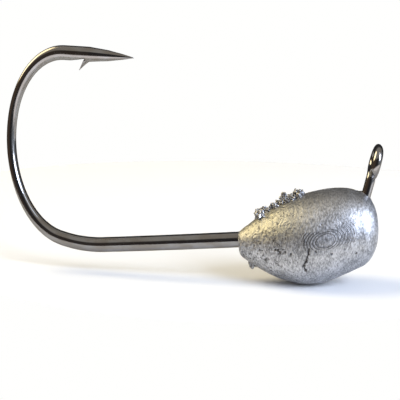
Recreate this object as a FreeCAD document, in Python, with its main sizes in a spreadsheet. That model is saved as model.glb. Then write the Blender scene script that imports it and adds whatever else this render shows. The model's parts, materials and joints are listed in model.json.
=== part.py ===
import FreeCAD, Part
import math
import os
import Sketcher

# A jig head: one hook, bent from a single wire, with a lead head cast round it.
#
# Frame: +X runs along the shank from the bend to the nose of the head, +Z is up on the
# side of the line eye and of the point, and the hook lies in the plane Y = 0. The origin
# is on the shank's axis at the tail face of the head, where a soft bait stops. All
# lengths are millimetres and all angles are degrees.

DIMENSIONS = [
    # hook wire
    ("wire_diameter", 1.52),
    ("eye_wire_diameter", 1.34),
    # straight shank behind the head, then three tangent arcs round to the point
    ("shank_length", 20.36),
    ("bend_start_radius", 29.95),
    ("bend_start_sweep", 13.8),
    ("bend_main_radius", 10.14),
    ("bend_main_sweep", 98.5),
    ("bend_end_radius", 8.71),
    ("bend_end_sweep", 76.0),
    ("throat_length", 4.16),
    ("point_length", 6.81),
    ("point_tip_radius", 0.03),
    # barb, cut from the underside of the wire behind the point
    ("barb_root_depth", 0.45),
    ("barb_root_back", 0.80),
    ("barb_tip_back", 1.63),
    ("barb_tip_depth", 1.63),
    ("barb_root_front", 0.35),
    ("barb_front_depth", 0.67),
    ("barb_width", 0.70),
    ("notch_length", 2.40),
    # wire inside the head, and the line eye
    ("joint_inside_head", 4.0),
    ("leg_angle", 66.0),
    ("leg_bend_radius", 2.2),
    ("leg_foot", 16.71),
    ("leg_top_height", 4.98),
    ("neck_radius", 0.90),
    ("eye_ring_radius", 1.19),
    ("eye_sweep", 307.0),
    ("eye_bore_radius", 0.60),
    ("eye_land_length", 1.00),
    # round sections of the head: distance from the tail, centre height and radius
    ("tail_x", 0.0),
    ("tail_z", -0.37),
    ("tail_radius", 1.15),
    ("shoulder_x", 2.6),
    ("shoulder_z", -0.40),
    ("shoulder_radius", 2.40),
    ("rear_x", 5.6),
    ("rear_z", -0.38),
    ("rear_radius", 3.52),
    ("belly_x", 9.0),
    ("belly_z", -0.31),
    ("belly_radius", 4.29),
    ("waist_x", 12.2),
    ("waist_z", -0.05),
    ("waist_radius", 4.46),
    ("front_x", 15.2),
    ("front_z", 0.30),
    ("front_radius", 4.16),
    ("cheek_x", 17.6),
    ("cheek_z", 0.40),
    ("cheek_radius", 3.62),
    # rounded nose in front of the cheek section
    ("nose_x", 19.98),
    ("nose_round_radius", 3.34),
    ("nose_flat_radius", 0.42),
    # rough lead left by the casting
    ("crumb_radius", 0.45),
    ("nib_start", 1.10),
    ("nib_peak", 1.70),
    ("nib_end", 2.80),
    ("nib_depth", 2.90),
    ("nib_root_depth", 1.70),
    ("nib_width", 0.70),
]

SECTIONS = ["tail", "shoulder", "rear", "belly", "waist", "front", "cheek"]

# Crumbs of lead along the rear ridge: distance from the tail, sideways offset, size
# as a share of crumb_radius, and how far the crumb's centre stands above the lead.
CRUMBS = [
    (2.95, -0.10, 1.00, 0.26),
    (3.75, 0.18, 0.85, 0.24),
    (3.45, -0.75, 0.70, 0.10),
    (4.95, -0.12, 0.70, 0.10),
    (5.75, 0.30, 0.62, 0.05),
    (6.60, -0.05, 0.90, 0.20),
    (7.45, -0.42, 0.62, 0.08),
    (8.35, 0.05, 0.85, 0.20),
    (9.05, -0.25, 0.72, 0.16),
]


def make_sheet(doc):
    """Puts every driving dimension in a spreadsheet cell with its name as alias."""
    sheet = doc.addObject("Spreadsheet::Sheet", "dims")
    for row, (alias, value) in enumerate(DIMENSIONS, start=1):
        sheet.set("A%d" % row, alias)
        sheet.set("B%d" % row, str(value))
        sheet.setAlias("B%d" % row, alias)
    doc.recompute()
    return sheet


def origin_plane(body, role):
    """The body's own origin plane with this role, such as XZ_Plane."""
    return next(item for item in body.Origin.OriginFeatures if item.Role == role)


def new_sketch(body, name, role, offset=None):
    """A sketch attached to one of the body's origin planes."""
    sketch = body.newObject("Sketcher::SketchObject", name)
    sketch.AttachmentSupport = [(origin_plane(body, role), "")]
    sketch.MapMode = "FlatFace"
    if offset is not None:
        sketch.AttachmentOffset = offset
    return sketch


def bind(sketch, constraint, alias_expression):
    """Adds a dimension to a sketch and drives it from the spreadsheet."""
    index = sketch.addConstraint(constraint)
    sketch.setExpression("Constraints[%d]" % index, alias_expression)
    return index


def circle_sketch(body, name, role, radius, expression, centre=(0.0, 0.0), offset=None):
    """A circle whose radius is driven from the sheet, centred on the sketch's Y axis."""
    sketch = new_sketch(body, name, role, offset)
    point = FreeCAD.Vector(centre[0], centre[1], 0)
    sketch.addGeometry(Part.Circle(point, FreeCAD.Vector(0, 0, 1), radius), False)
    bind(sketch, Sketcher.Constraint("Radius", 0, radius), expression)
    return sketch


class TangentPath:
    """Lines and arcs that follow one another without a corner, in a sketch's plane."""

    def __init__(self, sketch, start, heading):
        self.sketch = sketch
        self.point = FreeCAD.Vector(start[0], start[1], 0)
        self.heading = heading
        self.last = None
        self.last_end = 0

    def _direction(self, angle):
        radians = math.radians(angle)
        return FreeCAD.Vector(math.cos(radians), math.sin(radians), 0)

    def _join(self, index, new_end):
        """Fixes the first piece's start, or makes a later piece tangent to the last."""
        if self.last is None:
            for kind, value in (("DistanceX", self.point.x), ("DistanceY", self.point.y)):
                self.sketch.addConstraint(
                    Sketcher.Constraint(kind, -1, 1, index, new_end, value)
                )
        else:
            self.sketch.addConstraint(
                Sketcher.Constraint("Tangent", self.last, self.last_end, index, new_end)
            )

    def line(self, length, expression):
        """A straight run. The first one also fixes the path's direction."""
        end = self.point + self._direction(self.heading) * length
        index = self.sketch.addGeometry(Part.LineSegment(self.point, end), False)
        self._join(index, 1)
        if self.last is None:
            self.sketch.addConstraint(
                Sketcher.Constraint("Angle", index, math.radians(self.heading))
            )
        bind(self.sketch, Sketcher.Constraint("Distance", index, length), expression)
        self.point, self.last, self.last_end = end, index, 2
        return self

    def arc(self, radius, radius_expression, sweep, sweep_expression, side):
        """An arc that turns left (side 1) or right (side -1) by the sweep."""
        centre = self.point + self._direction(self.heading + 90 * side) * radius
        start_angle = self.heading - 90 * side
        end_angle = start_angle + sweep * side
        low, high = sorted((start_angle, end_angle))
        circle = Part.Circle(centre, FreeCAD.Vector(0, 0, 1), radius)
        shape = Part.ArcOfCircle(circle, math.radians(low), math.radians(high))
        index = self.sketch.addGeometry(shape, False)
        first, second = (1, 2) if side > 0 else (2, 1)
        self._join(index, first)
        bind(self.sketch, Sketcher.Constraint("Radius", index, radius), radius_expression)
        bind(
            self.sketch,
            Sketcher.Constraint("Angle", index, math.radians(sweep)),
            sweep_expression,
        )
        self.point = centre + self._direction(end_angle) * radius
        self.heading += sweep * side
        self.last, self.last_end = index, second
        return self


def add_pipe(body, name, profile, path):
    """Sweeps a profile along a path sketch."""
    pipe = body.newObject("PartDesign::AdditivePipe", name)
    pipe.Profile = profile
    pipe.Spine = (path, [])
    pipe.Transition = "Transformed"
    return pipe


def polygon(sketch, points):
    """A closed outline whose corners are fixed by driven distances from the origin.

    Each point is (x, x_expression, y, y_expression).
    """
    corners = [FreeCAD.Vector(x, y, 0) for x, _, y, _ in points]
    count = len(corners)
    for index in range(count):
        segment = Part.LineSegment(corners[index], corners[(index + 1) % count])
        sketch.addGeometry(segment, False)
    for index in range(count):
        following = (index + 1) % count
        sketch.addConstraint(Sketcher.Constraint("Coincident", index, 2, following, 1))
    for index, (x, x_expression, y, y_expression) in enumerate(points):
        bind(sketch, Sketcher.Constraint("DistanceX", -1, 1, index, 1, x), x_expression)
        bind(sketch, Sketcher.Constraint("DistanceY", -1, 1, index, 1, y), y_expression)


def signed(alias, sign):
    """An expression for a sheet value or for its negative."""
    return "dims.%s" % alias if sign > 0 else "-dims.%s" % alias


def corner(sheet, x_alias, x_sign, y_alias, y_sign):
    """One polygon corner, read from and driven by the sheet."""
    return (
        x_sign * getattr(sheet, x_alias),
        signed(x_alias, x_sign),
        y_sign * getattr(sheet, y_alias),
        signed(y_alias, y_sign),
    )


def make_hook(doc, sheet):
    """One length of wire: point and barb, bend, shank, hidden bend, leg and eye."""
    body = doc.addObject("PartDesign::Body", "hook")
    body.Label = "hook"
    wire_radius = sheet.wire_diameter / 2
    eye_wire_radius = sheet.eye_wire_diameter / 2
    inside = FreeCAD.Placement(
        FreeCAD.Vector(0, 0, sheet.joint_inside_head), FreeCAD.Rotation()
    )

    # shank, bend and throat: from inside the head, back and round to the point's base
    wire = circle_sketch(
        body, "wire_section", "YZ_Plane", wire_radius, "dims.wire_diameter / 2", offset=inside
    )
    bend = new_sketch(body, "bend_path", "XZ_Plane")
    route = TangentPath(bend, (sheet.joint_inside_head, 0.0), 180.0)
    route.line(
        sheet.joint_inside_head + sheet.shank_length,
        "dims.joint_inside_head + dims.shank_length",
    )
    for name in ("bend_start", "bend_main", "bend_end"):
        route.arc(
            getattr(sheet, name + "_radius"),
            "dims.%s_radius" % name,
            getattr(sheet, name + "_sweep"),
            "dims.%s_sweep" % name,
            -1,
        )
    route.line(sheet.throat_length, "dims.throat_length")
    add_pipe(body, "shank_and_bend", wire, bend)
    base, heading = route.point, route.heading

    # point: a long cone in line with the throat
    point = body.newObject("PartDesign::AdditiveCone", "point")
    point.AttachmentSupport = [(origin_plane(body, "XY_Plane"), "")]
    point.MapMode = "FlatFace"
    point.AttachmentOffset = FreeCAD.Placement(
        FreeCAD.Vector(base.x, 0, base.y),
        FreeCAD.Rotation(FreeCAD.Vector(0, 1, 0), 90 - heading),
    )
    point.setExpression("Radius1", "dims.wire_diameter / 2")
    point.setExpression("Radius2", "dims.point_tip_radius")
    point.setExpression("Height", "dims.point_length")

    # barb: a shallow chisel cut under the throat, and the spur it raises
    at_base = FreeCAD.Placement(
        FreeCAD.Vector(base.x, base.y, 0),
        FreeCAD.Rotation(FreeCAD.Vector(0, 0, 1), heading),
    )
    cut = new_sketch(body, "notch_outline", "XZ_Plane", at_base)
    polygon(
        cut,
        [
            corner(sheet, "barb_root_back", -1, "barb_root_depth", -1),
            corner(sheet, "barb_tip_back", -1, "barb_tip_depth", -1),
            (
                -sheet.barb_root_back - sheet.notch_length,
                "-dims.barb_root_back - dims.notch_length",
                -wire_radius,
                "-dims.wire_diameter / 2",
            ),
        ],
    )
    notch = body.newObject("PartDesign::Pocket", "notch")
    notch.Profile = cut
    notch.Midplane = True
    notch.setExpression("Length", "dims.wire_diameter * 2")
    spur_outline = new_sketch(body, "spur_outline", "XZ_Plane", at_base)
    polygon(
        spur_outline,
        [
            corner(sheet, "barb_root_back", -1, "barb_root_depth", -1),
            corner(sheet, "barb_tip_back", -1, "barb_tip_depth", -1),
            corner(sheet, "barb_root_front", 1, "barb_front_depth", -1),
            (sheet.barb_root_front, "dims.barb_root_front", 0.0, "0"),
            (-sheet.barb_root_back, "-dims.barb_root_back", 0.0, "0"),
        ],
    )
    spur = body.newObject("PartDesign::Pad", "spur")
    spur.Profile = spur_outline
    spur.Midplane = True
    spur.setExpression("Length", "dims.barb_width")

    # hidden bend and leg: from inside the head, forward and up to the foot of the eye
    leg_wire = circle_sketch(
        body,
        "leg_section",
        "YZ_Plane",
        eye_wire_radius,
        "dims.eye_wire_diameter / 2",
        offset=inside,
    )
    leg = new_sketch(body, "leg_path", "XZ_Plane")
    tangent_length = sheet.leg_bend_radius * math.tan(math.radians(sheet.leg_angle / 2))
    run_inside = sheet.leg_foot - tangent_length - sheet.joint_inside_head
    leg_length = sheet.leg_top_height / math.sin(math.radians(sheet.leg_angle)) - tangent_length
    route = TangentPath(leg, (sheet.joint_inside_head, 0.0), 0.0)
    route.line(run_inside, str(run_inside))
    route.arc(
        sheet.leg_bend_radius, "dims.leg_bend_radius", sheet.leg_angle, "dims.leg_angle", 1
    )
    route.line(leg_length, str(leg_length))
    add_pipe(body, "hidden_bend_and_leg", leg_wire, leg)
    foot = FreeCAD.Vector(route.point.x, 0, route.point.y)

    # eye: a short neck, then a loop whose end comes back against the neck. Its plane
    # holds the leg and is square to the hook's plane.
    tilt = 90 - sheet.leg_angle
    across_leg = FreeCAD.Placement(foot, FreeCAD.Rotation(FreeCAD.Vector(0, 1, 0), tilt))
    eye_section = circle_sketch(
        body,
        "eye_section",
        "XY_Plane",
        eye_wire_radius,
        "dims.eye_wire_diameter / 2",
        offset=across_leg,
    )
    ring_plane = FreeCAD.Placement(
        FreeCAD.Vector(0, foot.z, foot.x),
        FreeCAD.Rotation(FreeCAD.Vector(1, 0, 0), tilt),
    )
    loop = new_sketch(body, "eye_path", "YZ_Plane", ring_plane)
    neck_turn = math.degrees(
        math.acos(sheet.neck_radius / (sheet.eye_ring_radius + sheet.neck_radius))
    )
    route = TangentPath(loop, (0.0, 0.0), 90.0)
    route.arc(sheet.neck_radius, "dims.neck_radius", neck_turn, str(neck_turn), -1)
    route.arc(
        sheet.eye_ring_radius, "dims.eye_ring_radius", sheet.eye_sweep, "dims.eye_sweep", 1
    )
    add_pipe(body, "eye", eye_section, loop)

    # land inside the loop, where it was bent round its pin
    ring_height = (sheet.eye_ring_radius + sheet.neck_radius) * math.sin(
        math.radians(neck_turn)
    )
    bore_outline = circle_sketch(
        body,
        "eye_bore_outline",
        "YZ_Plane",
        sheet.eye_bore_radius,
        "dims.eye_bore_radius",
        centre=(0.0, ring_height),
        offset=ring_plane,
    )
    bore = body.newObject("PartDesign::Pocket", "eye_bore")
    bore.Profile = bore_outline
    bore.Midplane = True
    bore.setExpression("Length", "dims.eye_land_length")
    doc.recompute()
    axis = FreeCAD.Rotation(FreeCAD.Vector(0, 1, 0), tilt)
    ring_centre = foot + axis.multVec(FreeCAD.Vector(0, 0, ring_height))
    print("point starts at", base, "and heads", heading)
    print("ring centre", ring_centre, "ring axis", axis.multVec(FreeCAD.Vector(1, 0, 0)))
    return body


def make_head_blank(doc, sheet):
    """The cast head before the wire's channel: round sections, blended, and a blunt nose."""
    body = doc.addObject("PartDesign::Body", "head_blank")
    body.Label = "head_blank"
    sections = []
    for name in SECTIONS:
        sketch = circle_sketch(
            body,
            name + "_section",
            "YZ_Plane",
            getattr(sheet, name + "_radius"),
            "dims.%s_radius" % name,
        )
        sketch.setExpression(".AttachmentOffset.Base.y", "dims.%s_z" % name)
        sketch.setExpression(".AttachmentOffset.Base.z", "dims.%s_x" % name)
        sections.append(sketch)
    loft = body.newObject("PartDesign::AdditiveLoft", "head_loft")
    loft.Profile = sections[0]
    loft.Sections = sections[1:]
    loft.Ruled = False

    # nose: a quarter outline turned about the cheek section's centre line
    level = FreeCAD.Placement(FreeCAD.Vector(0, sheet.cheek_z, 0), FreeCAD.Rotation())
    outline = new_sketch(body, "nose_outline", "XZ_Plane", level)
    back = FreeCAD.Vector(sheet.cheek_x, 0, 0)
    shoulder = FreeCAD.Vector(sheet.cheek_x, sheet.cheek_radius, 0)
    flat = FreeCAD.Vector(sheet.nose_x, sheet.nose_flat_radius, 0)
    pole = FreeCAD.Vector(sheet.nose_x, 0, 0)
    centre = FreeCAD.Vector(sheet.nose_x - sheet.nose_round_radius, flat.y, 0)
    shoulder_angle = math.atan2(shoulder.y - centre.y, shoulder.x - centre.x)
    circle = Part.Circle(centre, FreeCAD.Vector(0, 0, 1), sheet.nose_round_radius)
    outline.addGeometry(Part.LineSegment(back, shoulder), False)
    outline.addGeometry(Part.ArcOfCircle(circle, 0, shoulder_angle), False)
    outline.addGeometry(Part.LineSegment(flat, pole), False)
    outline.addGeometry(Part.LineSegment(pole, back), False)
    for first, first_end, second, second_end in (
        (0, 2, 1, 2),
        (1, 1, 2, 1),
        (2, 2, 3, 1),
        (3, 2, 0, 1),
    ):
        outline.addConstraint(
            Sketcher.Constraint("Coincident", first, first_end, second, second_end)
        )
    outline.addConstraint(Sketcher.Constraint("PointOnObject", 0, 1, -1))
    for kind, geometry in (("Vertical", 0), ("Vertical", 2), ("Horizontal", 3)):
        outline.addConstraint(Sketcher.Constraint(kind, geometry))
    bind(
        outline,
        Sketcher.Constraint("DistanceX", -1, 1, 0, 1, sheet.cheek_x),
        "dims.cheek_x",
    )
    bind(
        outline,
        Sketcher.Constraint("DistanceX", -1, 1, 2, 2, sheet.nose_x),
        "dims.nose_x",
    )
    bind(outline, Sketcher.Constraint("Distance", 0, sheet.cheek_radius), "dims.cheek_radius")
    bind(
        outline,
        Sketcher.Constraint("Distance", 2, sheet.nose_flat_radius),
        "dims.nose_flat_radius",
    )
    bind(
        outline,
        Sketcher.Constraint("Radius", 1, sheet.nose_round_radius),
        "dims.nose_round_radius",
    )
    nose = body.newObject("PartDesign::Revolution", "nose")
    nose.Profile = outline
    nose.ReferenceAxis = (outline, ["H_Axis"])
    nose.Angle = 360
    doc.recompute()
    return body


def cut_by(doc, label, base, tool):
    """A boolean cut that becomes a sub-part under its own label."""
    piece = doc.addObject("Part::Cut", label)
    piece.Label = label
    piece.Base = base
    piece.Tool = tool
    return piece


def ridge_height(sheet, x):
    """Height of the blank's top line at x, straight between neighbouring sections."""
    tops = [
        (
            getattr(sheet, name + "_x"),
            getattr(sheet, name + "_z") + getattr(sheet, name + "_radius"),
        )
        for name in SECTIONS
    ]
    for (x_low, z_low), (x_high, z_high) in zip(tops, tops[1:]):
        if x <= x_high:
            return z_low + (z_high - z_low) * (x - x_low) / (x_high - x_low)
    return tops[-1][1]


def make_crumbs(doc, sheet, blank):
    """Crumbs of lead along the rear ridge, cut to sit on the head's surface."""
    crumbs = []
    for number, (x, y, share, stand) in enumerate(CRUMBS, start=1):
        crumb = doc.addObject("Part::Sphere", "crumb_%d" % number)
        crumb.setExpression("Radius", "dims.crumb_radius * %s" % share)
        crumb.Placement = FreeCAD.Placement(
            FreeCAD.Vector(x, y, ridge_height(sheet, x) + stand), FreeCAD.Rotation()
        )
        crumbs.append(crumb)
    group = doc.addObject("Part::MultiFuse", "crumb_group")
    group.Shapes = crumbs
    return cut_by(doc, "gate_crumbs", group, blank)


def make_nib(doc, sheet, blank):
    """The torn nib of lead under the tail, where the metal ran into the mould's vent."""
    body = doc.addObject("PartDesign::Body", "nib_blank")
    outline = new_sketch(body, "nib_outline", "XZ_Plane")
    polygon(
        outline,
        [
            corner(sheet, "nib_start", 1, "nib_root_depth", -1),
            corner(sheet, "nib_peak", 1, "nib_depth", -1),
            corner(sheet, "nib_end", 1, "nib_depth", -1),
            corner(sheet, "nib_end", 1, "nib_root_depth", -1),
        ],
    )
    pad = body.newObject("PartDesign::Pad", "nib")
    pad.Profile = outline
    pad.Midplane = True
    pad.setExpression("Length", "dims.nib_width")
    return cut_by(doc, "vent_nib", body, blank)


def check(doc):
    """Stops if any object failed to compute."""
    for item in doc.Objects:
        if {"Invalid", "Error"} & set(item.State):
            raise RuntimeError("%s: %s" % (item.Name, item.State))


def write(parts):
    """Writes each sub-part's shape to its own STEP file."""
    os.makedirs("parts", exist_ok=True)
    for piece in parts:
        shape = piece.Shape
        if shape.isNull() or not shape.isValid():
            raise RuntimeError("%s has no valid shape" % piece.Label)
        shape.exportStep("parts/%s.step" % piece.Label)
        box = shape.BoundBox
        print(
            "%s: %d solid(s), %.2f mm3, x %.2f to %.2f, y %.2f to %.2f, z %.2f to %.2f"
            % (
                piece.Label,
                len(shape.Solids),
                shape.Volume,
                box.XMin,
                box.XMax,
                box.YMin,
                box.YMax,
                box.ZMin,
                box.ZMax,
            )
        )


def main():
    doc = FreeCAD.newDocument("jig_head")
    sheet = make_sheet(doc)
    hook = make_hook(doc, sheet)
    blank = make_head_blank(doc, sheet)
    head = cut_by(doc, "lead_head", blank, hook)
    crumbs = make_crumbs(doc, sheet, blank)
    nib = make_nib(doc, sheet, blank)
    doc.recompute()
    check(doc)
    write([hook, head, crumbs, nib])


main()
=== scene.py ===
# %% [markdown]
# # A lead jig head on a bent wire hook
# A jig head is a fishing hook with a lead weight cast on its shank. It has no moving parts:
# one wire makes the point, the barb, the bend, the shank and the line eye, and lead poured
# into a two-part mould makes the head. A CAD model already fixes every size. This file makes
# the finished surfaces over it, in metres and in the same frame: +X runs along the shank to
# the nose, +Z is up, and the hook lies in the plane Y = 0.

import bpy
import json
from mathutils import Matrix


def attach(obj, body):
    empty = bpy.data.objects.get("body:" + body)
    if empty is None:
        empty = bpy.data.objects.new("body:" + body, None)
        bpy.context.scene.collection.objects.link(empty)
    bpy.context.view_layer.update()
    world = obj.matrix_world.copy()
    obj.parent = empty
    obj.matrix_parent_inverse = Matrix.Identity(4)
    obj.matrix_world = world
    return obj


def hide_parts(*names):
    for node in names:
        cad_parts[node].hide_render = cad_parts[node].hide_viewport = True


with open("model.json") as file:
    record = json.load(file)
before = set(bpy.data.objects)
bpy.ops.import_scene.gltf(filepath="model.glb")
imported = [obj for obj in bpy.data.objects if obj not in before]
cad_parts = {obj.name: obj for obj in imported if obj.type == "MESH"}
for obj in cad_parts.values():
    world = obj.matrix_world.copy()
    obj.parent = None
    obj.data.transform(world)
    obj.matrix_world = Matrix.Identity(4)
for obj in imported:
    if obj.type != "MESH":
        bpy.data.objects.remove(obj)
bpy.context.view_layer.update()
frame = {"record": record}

# %% Tools and units
import json
import math
import random

import bmesh
import bpy
from mathutils import Matrix, Vector, noise

MM = 0.001
X_AXIS, Y_AXIS = Vector((1, 0, 0)), Vector((0, 1, 0))
scene = bpy.context.scene

# %% [markdown]
# ## The camera
# A jig head is long and low, and a square picture of it wastes most of its height. Here the
# square frame holds a view that is half as wide again as it is tall, so everything looks
# squeezed sideways to two thirds. A normal lens can't do that without changing the render
# settings, but a panoramic camera can: its picture is laid out by angle, and the angle across
# may be larger than the angle up. The view is narrow, so straight edges still look straight.

# %% Place the camera
VIEW_AZIMUTH = math.radians(10.0)
VIEW_ELEVATION = math.radians(7.0)
VIEW_ROLL = math.radians(-3.325)
VIEW_DISTANCE = 80.0 * MM
AIM_POINT = Vector((-5.438, 0.0, 4.009)) * MM
HALF_ANGLE_ACROSS = 0.36
HALF_ANGLE_UP = 0.24

towards_camera = Vector(
    (
        math.sin(VIEW_AZIMUTH) * math.cos(VIEW_ELEVATION),
        -math.cos(VIEW_AZIMUTH) * math.cos(VIEW_ELEVATION),
        math.sin(VIEW_ELEVATION),
    )
)
camera_data = bpy.data.cameras.new("camera")
camera_data.type = "PANO"
camera_data.panorama_type = "EQUIRECTANGULAR"
camera_data.longitude_min, camera_data.longitude_max = -HALF_ANGLE_ACROSS, HALF_ANGLE_ACROSS
camera_data.latitude_min, camera_data.latitude_max = -HALF_ANGLE_UP, HALF_ANGLE_UP
camera_data.clip_start, camera_data.clip_end = 1.0 * MM, 4.0
camera = bpy.data.objects.new("camera", camera_data)
scene.collection.objects.link(camera)
camera.location = AIM_POINT + towards_camera * VIEW_DISTANCE
camera.rotation_mode = "QUATERNION"
level = (-towards_camera).to_track_quat("-Z", "Y")
camera.rotation_quaternion = level @ Matrix.Rotation(VIEW_ROLL, 3, "Z").to_quaternion()
scene.camera = camera
print("camera at", [round(value / MM, 1) for value in camera.location], "mm")

# %% [markdown]
# ## Small helpers for the pieces
# Each piece is built in millimetres in a bmesh, then scaled once to metres. Its object stays
# at the origin, so the piece's place is in its mesh, as a CAD node's is. Two of the helpers
# look after the open rims that the pieces are grown from, and one eases a value in and out.

# %% Turn a bmesh into an object
def finish_piece(name, shape, material):
    """Scales the bmesh to metres and makes a smooth-shaded object of it."""
    bmesh.ops.scale(shape, vec=(MM, MM, MM), verts=shape.verts)
    mesh = bpy.data.meshes.new(name)
    shape.to_mesh(mesh)
    shape.free()
    mesh.shade_smooth()
    piece = bpy.data.objects.new(name, mesh)
    scene.collection.objects.link(piece)
    mesh.materials.append(material)
    print(name, "has", len(mesh.vertices), "corners and", len(mesh.polygons), "faces")
    return piece


def corners_of(edges):
    """The corners of some edges, each once and in a fixed order."""
    return list(dict.fromkeys(corner for edge in edges for corner in edge.verts))


def smooth(value, low, high):
    """0 below low, 1 above high, and an even curve between."""
    t = min(max((value - low) / (high - low), 0.0), 1.0)
    return t * t * (3 - 2 * t)


# %% Grow an open rim outwards
def grow_rim(shape, rim):
    """Extrudes an open rim of edges in place and returns the new rim."""
    made = bmesh.ops.extrude_edge_only(shape, edges=rim)["geom"]
    fresh = {part for part in made if isinstance(part, bmesh.types.BMVert)}
    edges = [part for part in made if isinstance(part, bmesh.types.BMEdge)]
    return [edge for edge in edges if edge.verts[0] in fresh and edge.verts[1] in fresh]


# %% [markdown]
# ## Nodes for materials
# The materials are built from nodes in code. A few helpers keep that short. The first adds a
# node with its settings and links. Most of the others make one thing that both finishes need,
# such as a range, a mix of colours, a noise pattern or a bump.

# %% Node helpers
def add_node(tree, kind, inputs=(), **settings):
    """Adds a node, sets its properties, then fills or links its named inputs."""
    node = tree.nodes.new(kind)
    for name, value in settings.items():
        setattr(node, name, value)
    for name, value in dict(inputs).items():
        if isinstance(value, bpy.types.NodeSocket):
            tree.links.new(value, node.inputs[name])
        else:
            node.inputs[name].default_value = value
    return node


def spread(tree, pattern, low, high, to_low, to_high):
    """Maps a pattern's range low..high to to_low..to_high, and holds it outside."""
    return add_node(
        tree,
        "ShaderNodeMapRange",
        {"Value": pattern, 1: low, 2: high, 3: to_low, 4: to_high},
        interpolation_type="SMOOTHSTEP",
    ).outputs[0]


def blend_colours(tree, share, first, second):
    """Mixes two colours by a share from 0 to 1."""
    mix = add_node(tree, "ShaderNodeMix", {0: share}, data_type="RGBA")
    for index, colour in ((6, first), (7, second)):
        if isinstance(colour, bpy.types.NodeSocket):
            tree.links.new(colour, mix.inputs[index])
        else:
            mix.inputs[index].default_value = (*colour, 1.0)
    return mix.outputs[2]


def scaled(tree, vector, scale):
    """A Mapping node's output: the vector stretched by scale."""
    return add_node(tree, "ShaderNodeMapping", {"Vector": vector, "Scale": scale}).outputs[0]


def speckle(tree, vector, scale, detail=3.0, roughness=0.55):
    """A noise pattern's grey value."""
    return add_node(
        tree,
        "ShaderNodeTexNoise",
        {"Vector": vector, "Scale": scale, "Detail": detail, "Roughness": roughness},
    ).outputs["Fac"]


def arithmetic(tree, operation, first, second):
    """A Math node's result."""
    return add_node(tree, "ShaderNodeMath", {0: first, 1: second}, operation=operation).outputs[0]


def raise_by(tree, height, strength, distance, normal=None):
    """A Bump node's normal, chained on another one when given."""
    inputs = {"Height": height, "Strength": strength, "Distance": distance}
    if normal is not None:
        inputs["Normal"] = normal
    return add_node(tree, "ShaderNodeBump", inputs).outputs[0]


def new_material(name):
    """An empty node material with its shader and tree."""
    material = bpy.data.materials.new(name)
    material.use_nodes = True
    return material, material.node_tree, material.node_tree.nodes["Principled BSDF"]


# %% [markdown]
# ## The hook's finish
# The wire is hardened steel with a dark nickel plate, polished by tumbling. It is a dark
# mirror: what shows is the room, drawn out into bands along the wire. A little unevenness
# keeps the bands from looking machined: faint draw lines along the wire, and patches where
# the plate is a shade browner. Those follow the wire round its bends, so they read an
# attribute that holds the place on the straightened wire, in millimetres.

# %% Make the dark nickel plate
PLATE_LIGHT = (0.30, 0.297, 0.297)
PLATE_BROWN = (0.25, 0.232, 0.215)
PLATE_EDGE = (0.35, 0.34, 0.33, 1.0)


def make_dark_nickel():
    """A dark mirror with draw lines, faint specks and browner patches."""
    material, tree, shader = new_material("black_nickel_steel")
    place = add_node(tree, "ShaderNodeAttribute", attribute_name="straightened").outputs["Vector"]
    patches = speckle(tree, scaled(tree, place, (0.35, 1.1, 1.1)), 1.0, 2.0)
    colour = blend_colours(
        tree, spread(tree, patches, 0.35, 0.65, 0.0, 1.0), PLATE_LIGHT, PLATE_BROWN
    )
    lines = speckle(tree, scaled(tree, place, (0.5, 16.0, 16.0)), 1.0, 4.0)
    specks = speckle(tree, scaled(tree, place, (9.0, 9.0, 9.0)), 1.0, 2.0)
    shine = arithmetic(tree, "ADD", lines, arithmetic(tree, "MULTIPLY", patches, 0.5))
    tree.links.new(colour, shader.inputs["Base Color"])
    tree.links.new(spread(tree, shine, 0.5, 1.0, 0.07, 0.19), shader.inputs["Roughness"])
    bumps = raise_by(tree, lines, 0.16, 0.010 * MM)
    bumps = raise_by(tree, specks, 0.10, 0.010 * MM, bumps)
    tree.links.new(bumps, shader.inputs["Normal"])
    shader.inputs["Metallic"].default_value = 1.0
    shader.inputs["Specular Tint"].default_value = PLATE_EDGE
    return material


dark_nickel = make_dark_nickel()
print("made", dark_nickel.name)

# %% [markdown]
# ## The wire
# A real hook starts as a straight length of wire that is bent round pins. A circle of edges
# does the same here: it is pulled along each straight run and spun round each bend, and every
# bend is tangent to the run before it. The circle starts inside the lead, where the thick
# hook wire and the slightly drawn-down eye wire meet, and grows away from there both ways.

# %% Wire sizes
WIRE_RADIUS = 1.52 / 2
EYE_WIRE_RADIUS = 1.34 / 2
WIRE_SIDES = 56
JOINT_X = 4.0
BEND_RING_SPACING = 0.30
NOTCH_RING_SPACING = 0.08
POINT_RING_SPACING = 0.14
EYE_RING_SPACING = 0.11


# %% Start the wire inside the head
def start_wire():
    """A circle round the shank's axis, with each corner's place on the straightened wire."""
    wire = bmesh.new()
    place = wire.verts.layers.float_vector.new("straightened")
    upright = Matrix.Translation((JOINT_X, 0, 0)) @ Matrix.Rotation(math.pi / 2, 4, "Y")
    bmesh.ops.create_circle(
        wire, cap_ends=False, radius=WIRE_RADIUS, segments=WIRE_SIDES, matrix=upright
    )
    for corner in wire.verts:
        corner[place] = Vector((0.0, corner.co.y, corner.co.z))
    return wire, place, list(wire.edges)


wire, place_layer, joint_rim = start_wire()
print("the wire starts as a circle of", len(joint_rim), "edges")


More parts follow.
